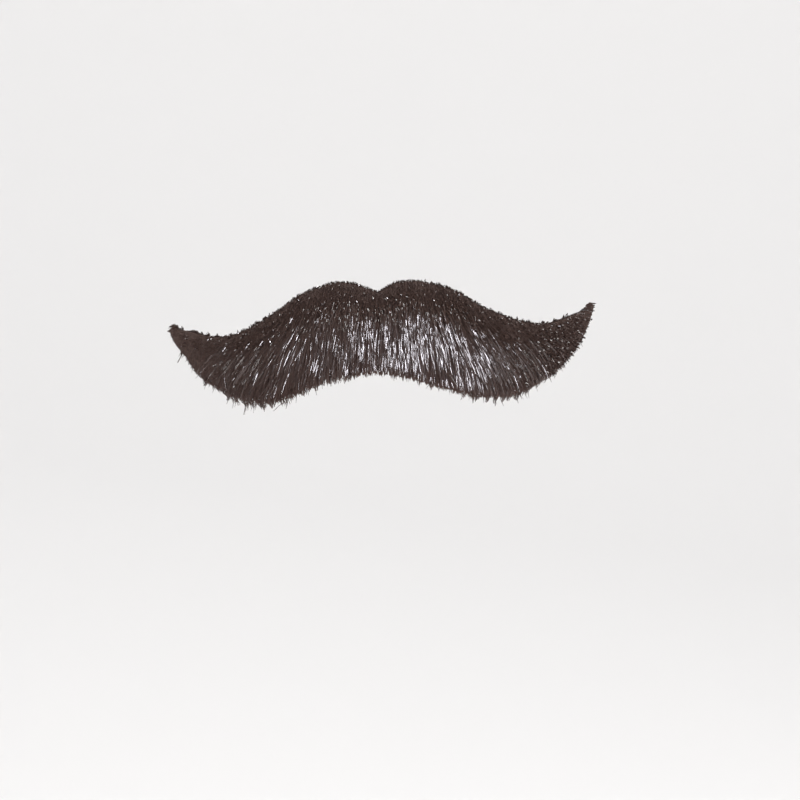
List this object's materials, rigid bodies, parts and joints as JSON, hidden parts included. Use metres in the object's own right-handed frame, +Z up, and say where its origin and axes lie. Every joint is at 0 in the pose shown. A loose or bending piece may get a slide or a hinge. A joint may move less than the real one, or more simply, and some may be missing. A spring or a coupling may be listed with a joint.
{
  "type": "false moustache",
  "caption": "Self-adhesive false moustache of short dark pile on a cut cloth, with two curled-up wings, bent to the curve in which it is worn.",
  "frame": {"origin": "on the back of the adhesive tape, in its flat stretch under the notch, half way down the hair's section there", "axes": "+Z up, +Y out of the sticky back, -Y out of the pile, +X along the right-hand wing as seen from the front"},
  "size_m": [0.0683, 0.0185, 0.0201],
  "materials": {
    "fur": "short glossy brown-black pile, combed down and outwards",
    "tape": "translucent self-adhesive film"
  },
  "bodies": {
    "root": {"fur_cloth": "fur", "adhesive_tape": "tape"}
  },
  "joints": []
}
